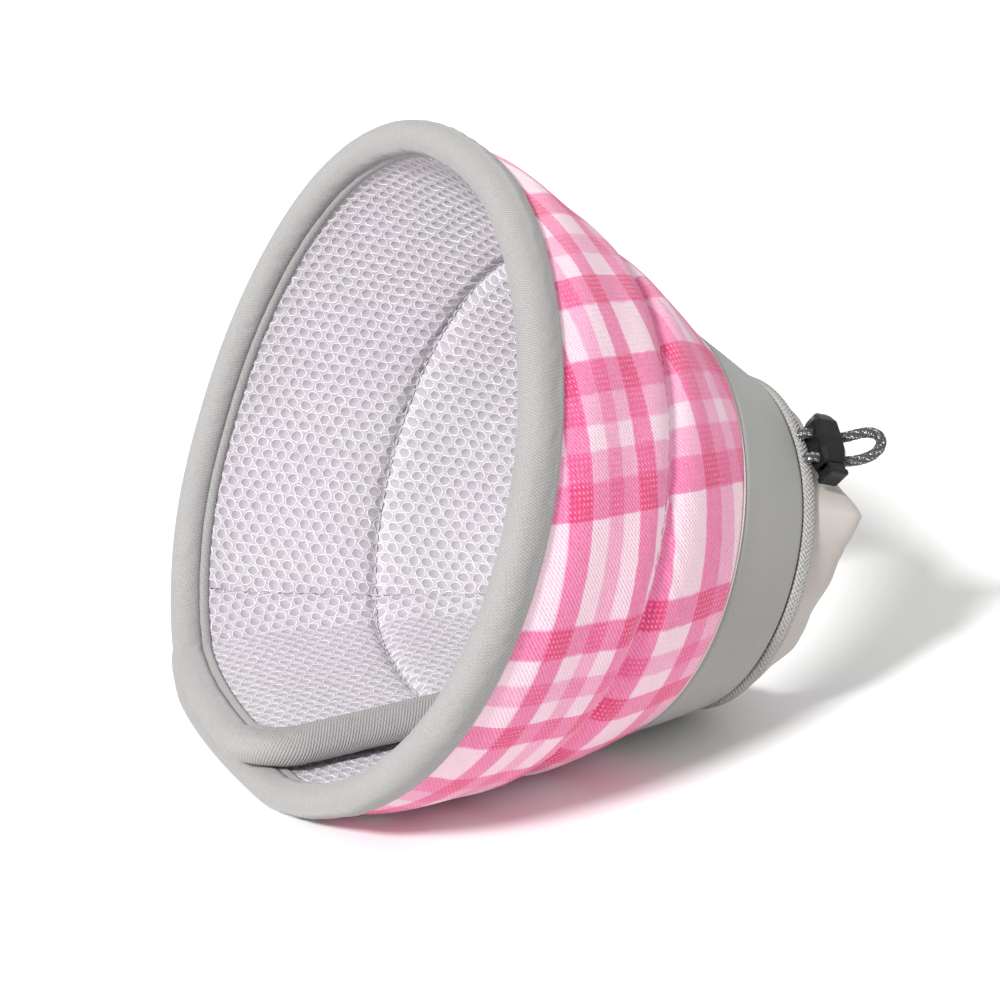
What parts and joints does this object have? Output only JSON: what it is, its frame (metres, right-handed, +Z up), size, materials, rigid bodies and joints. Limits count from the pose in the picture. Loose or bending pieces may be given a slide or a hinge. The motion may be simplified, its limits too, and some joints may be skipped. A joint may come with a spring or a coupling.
{
  "type": "soft recovery cone",
  "caption": "Padded pet recovery cone lying on its side: quilted plaid fan with mesh lining, bound edges, gathered neck sleeve, drawcord and sprung cord lock.",
  "frame": {"origin": "on the flattened resting side, below the centre of the rim", "axes": "+Z up from the floor, +X from the mouth towards the neck, +Y towards the overlapped closure"},
  "size_m": [0.2072, 0.2154, 0.1928],
  "materials": {
    "plaid": "printed plain weave over foam",
    "grey_cover": "smooth matte knit",
    "air_mesh": "open air mesh",
    "binding": "fine twill",
    "tape": "herringbone",
    "sleeve": "thin plain weave",
    "cord": "braided, with light flecks",
    "closure": "hook and loop",
    "lock_black": "gloss",
    "button_black": "gloss"
  },
  "bodies": {
    "cone": {"plaid_panel": "plaid", "grey_panel": "grey_cover", "mesh_lining": "air_mesh", "edge_binding": "binding", "closure_tape": "closure", "neck_tape": "tape", "neck_sleeve": "sleeve", "hem_cord": "cord", "drawcord": "cord", "cord_lock_shell": "lock_black"},
    "lock_button": {"cord_lock_button": "button_black"}
  },
  "joints": [
    {"name": "button_press", "type": "slide", "parent": "cone", "child": "lock_button", "axis": [0.1904, 0.7771, 0.5998], "range_m": [0, 0.002], "stiffness_N_per_m": 400, "springref_m": -0.004}
  ]
}
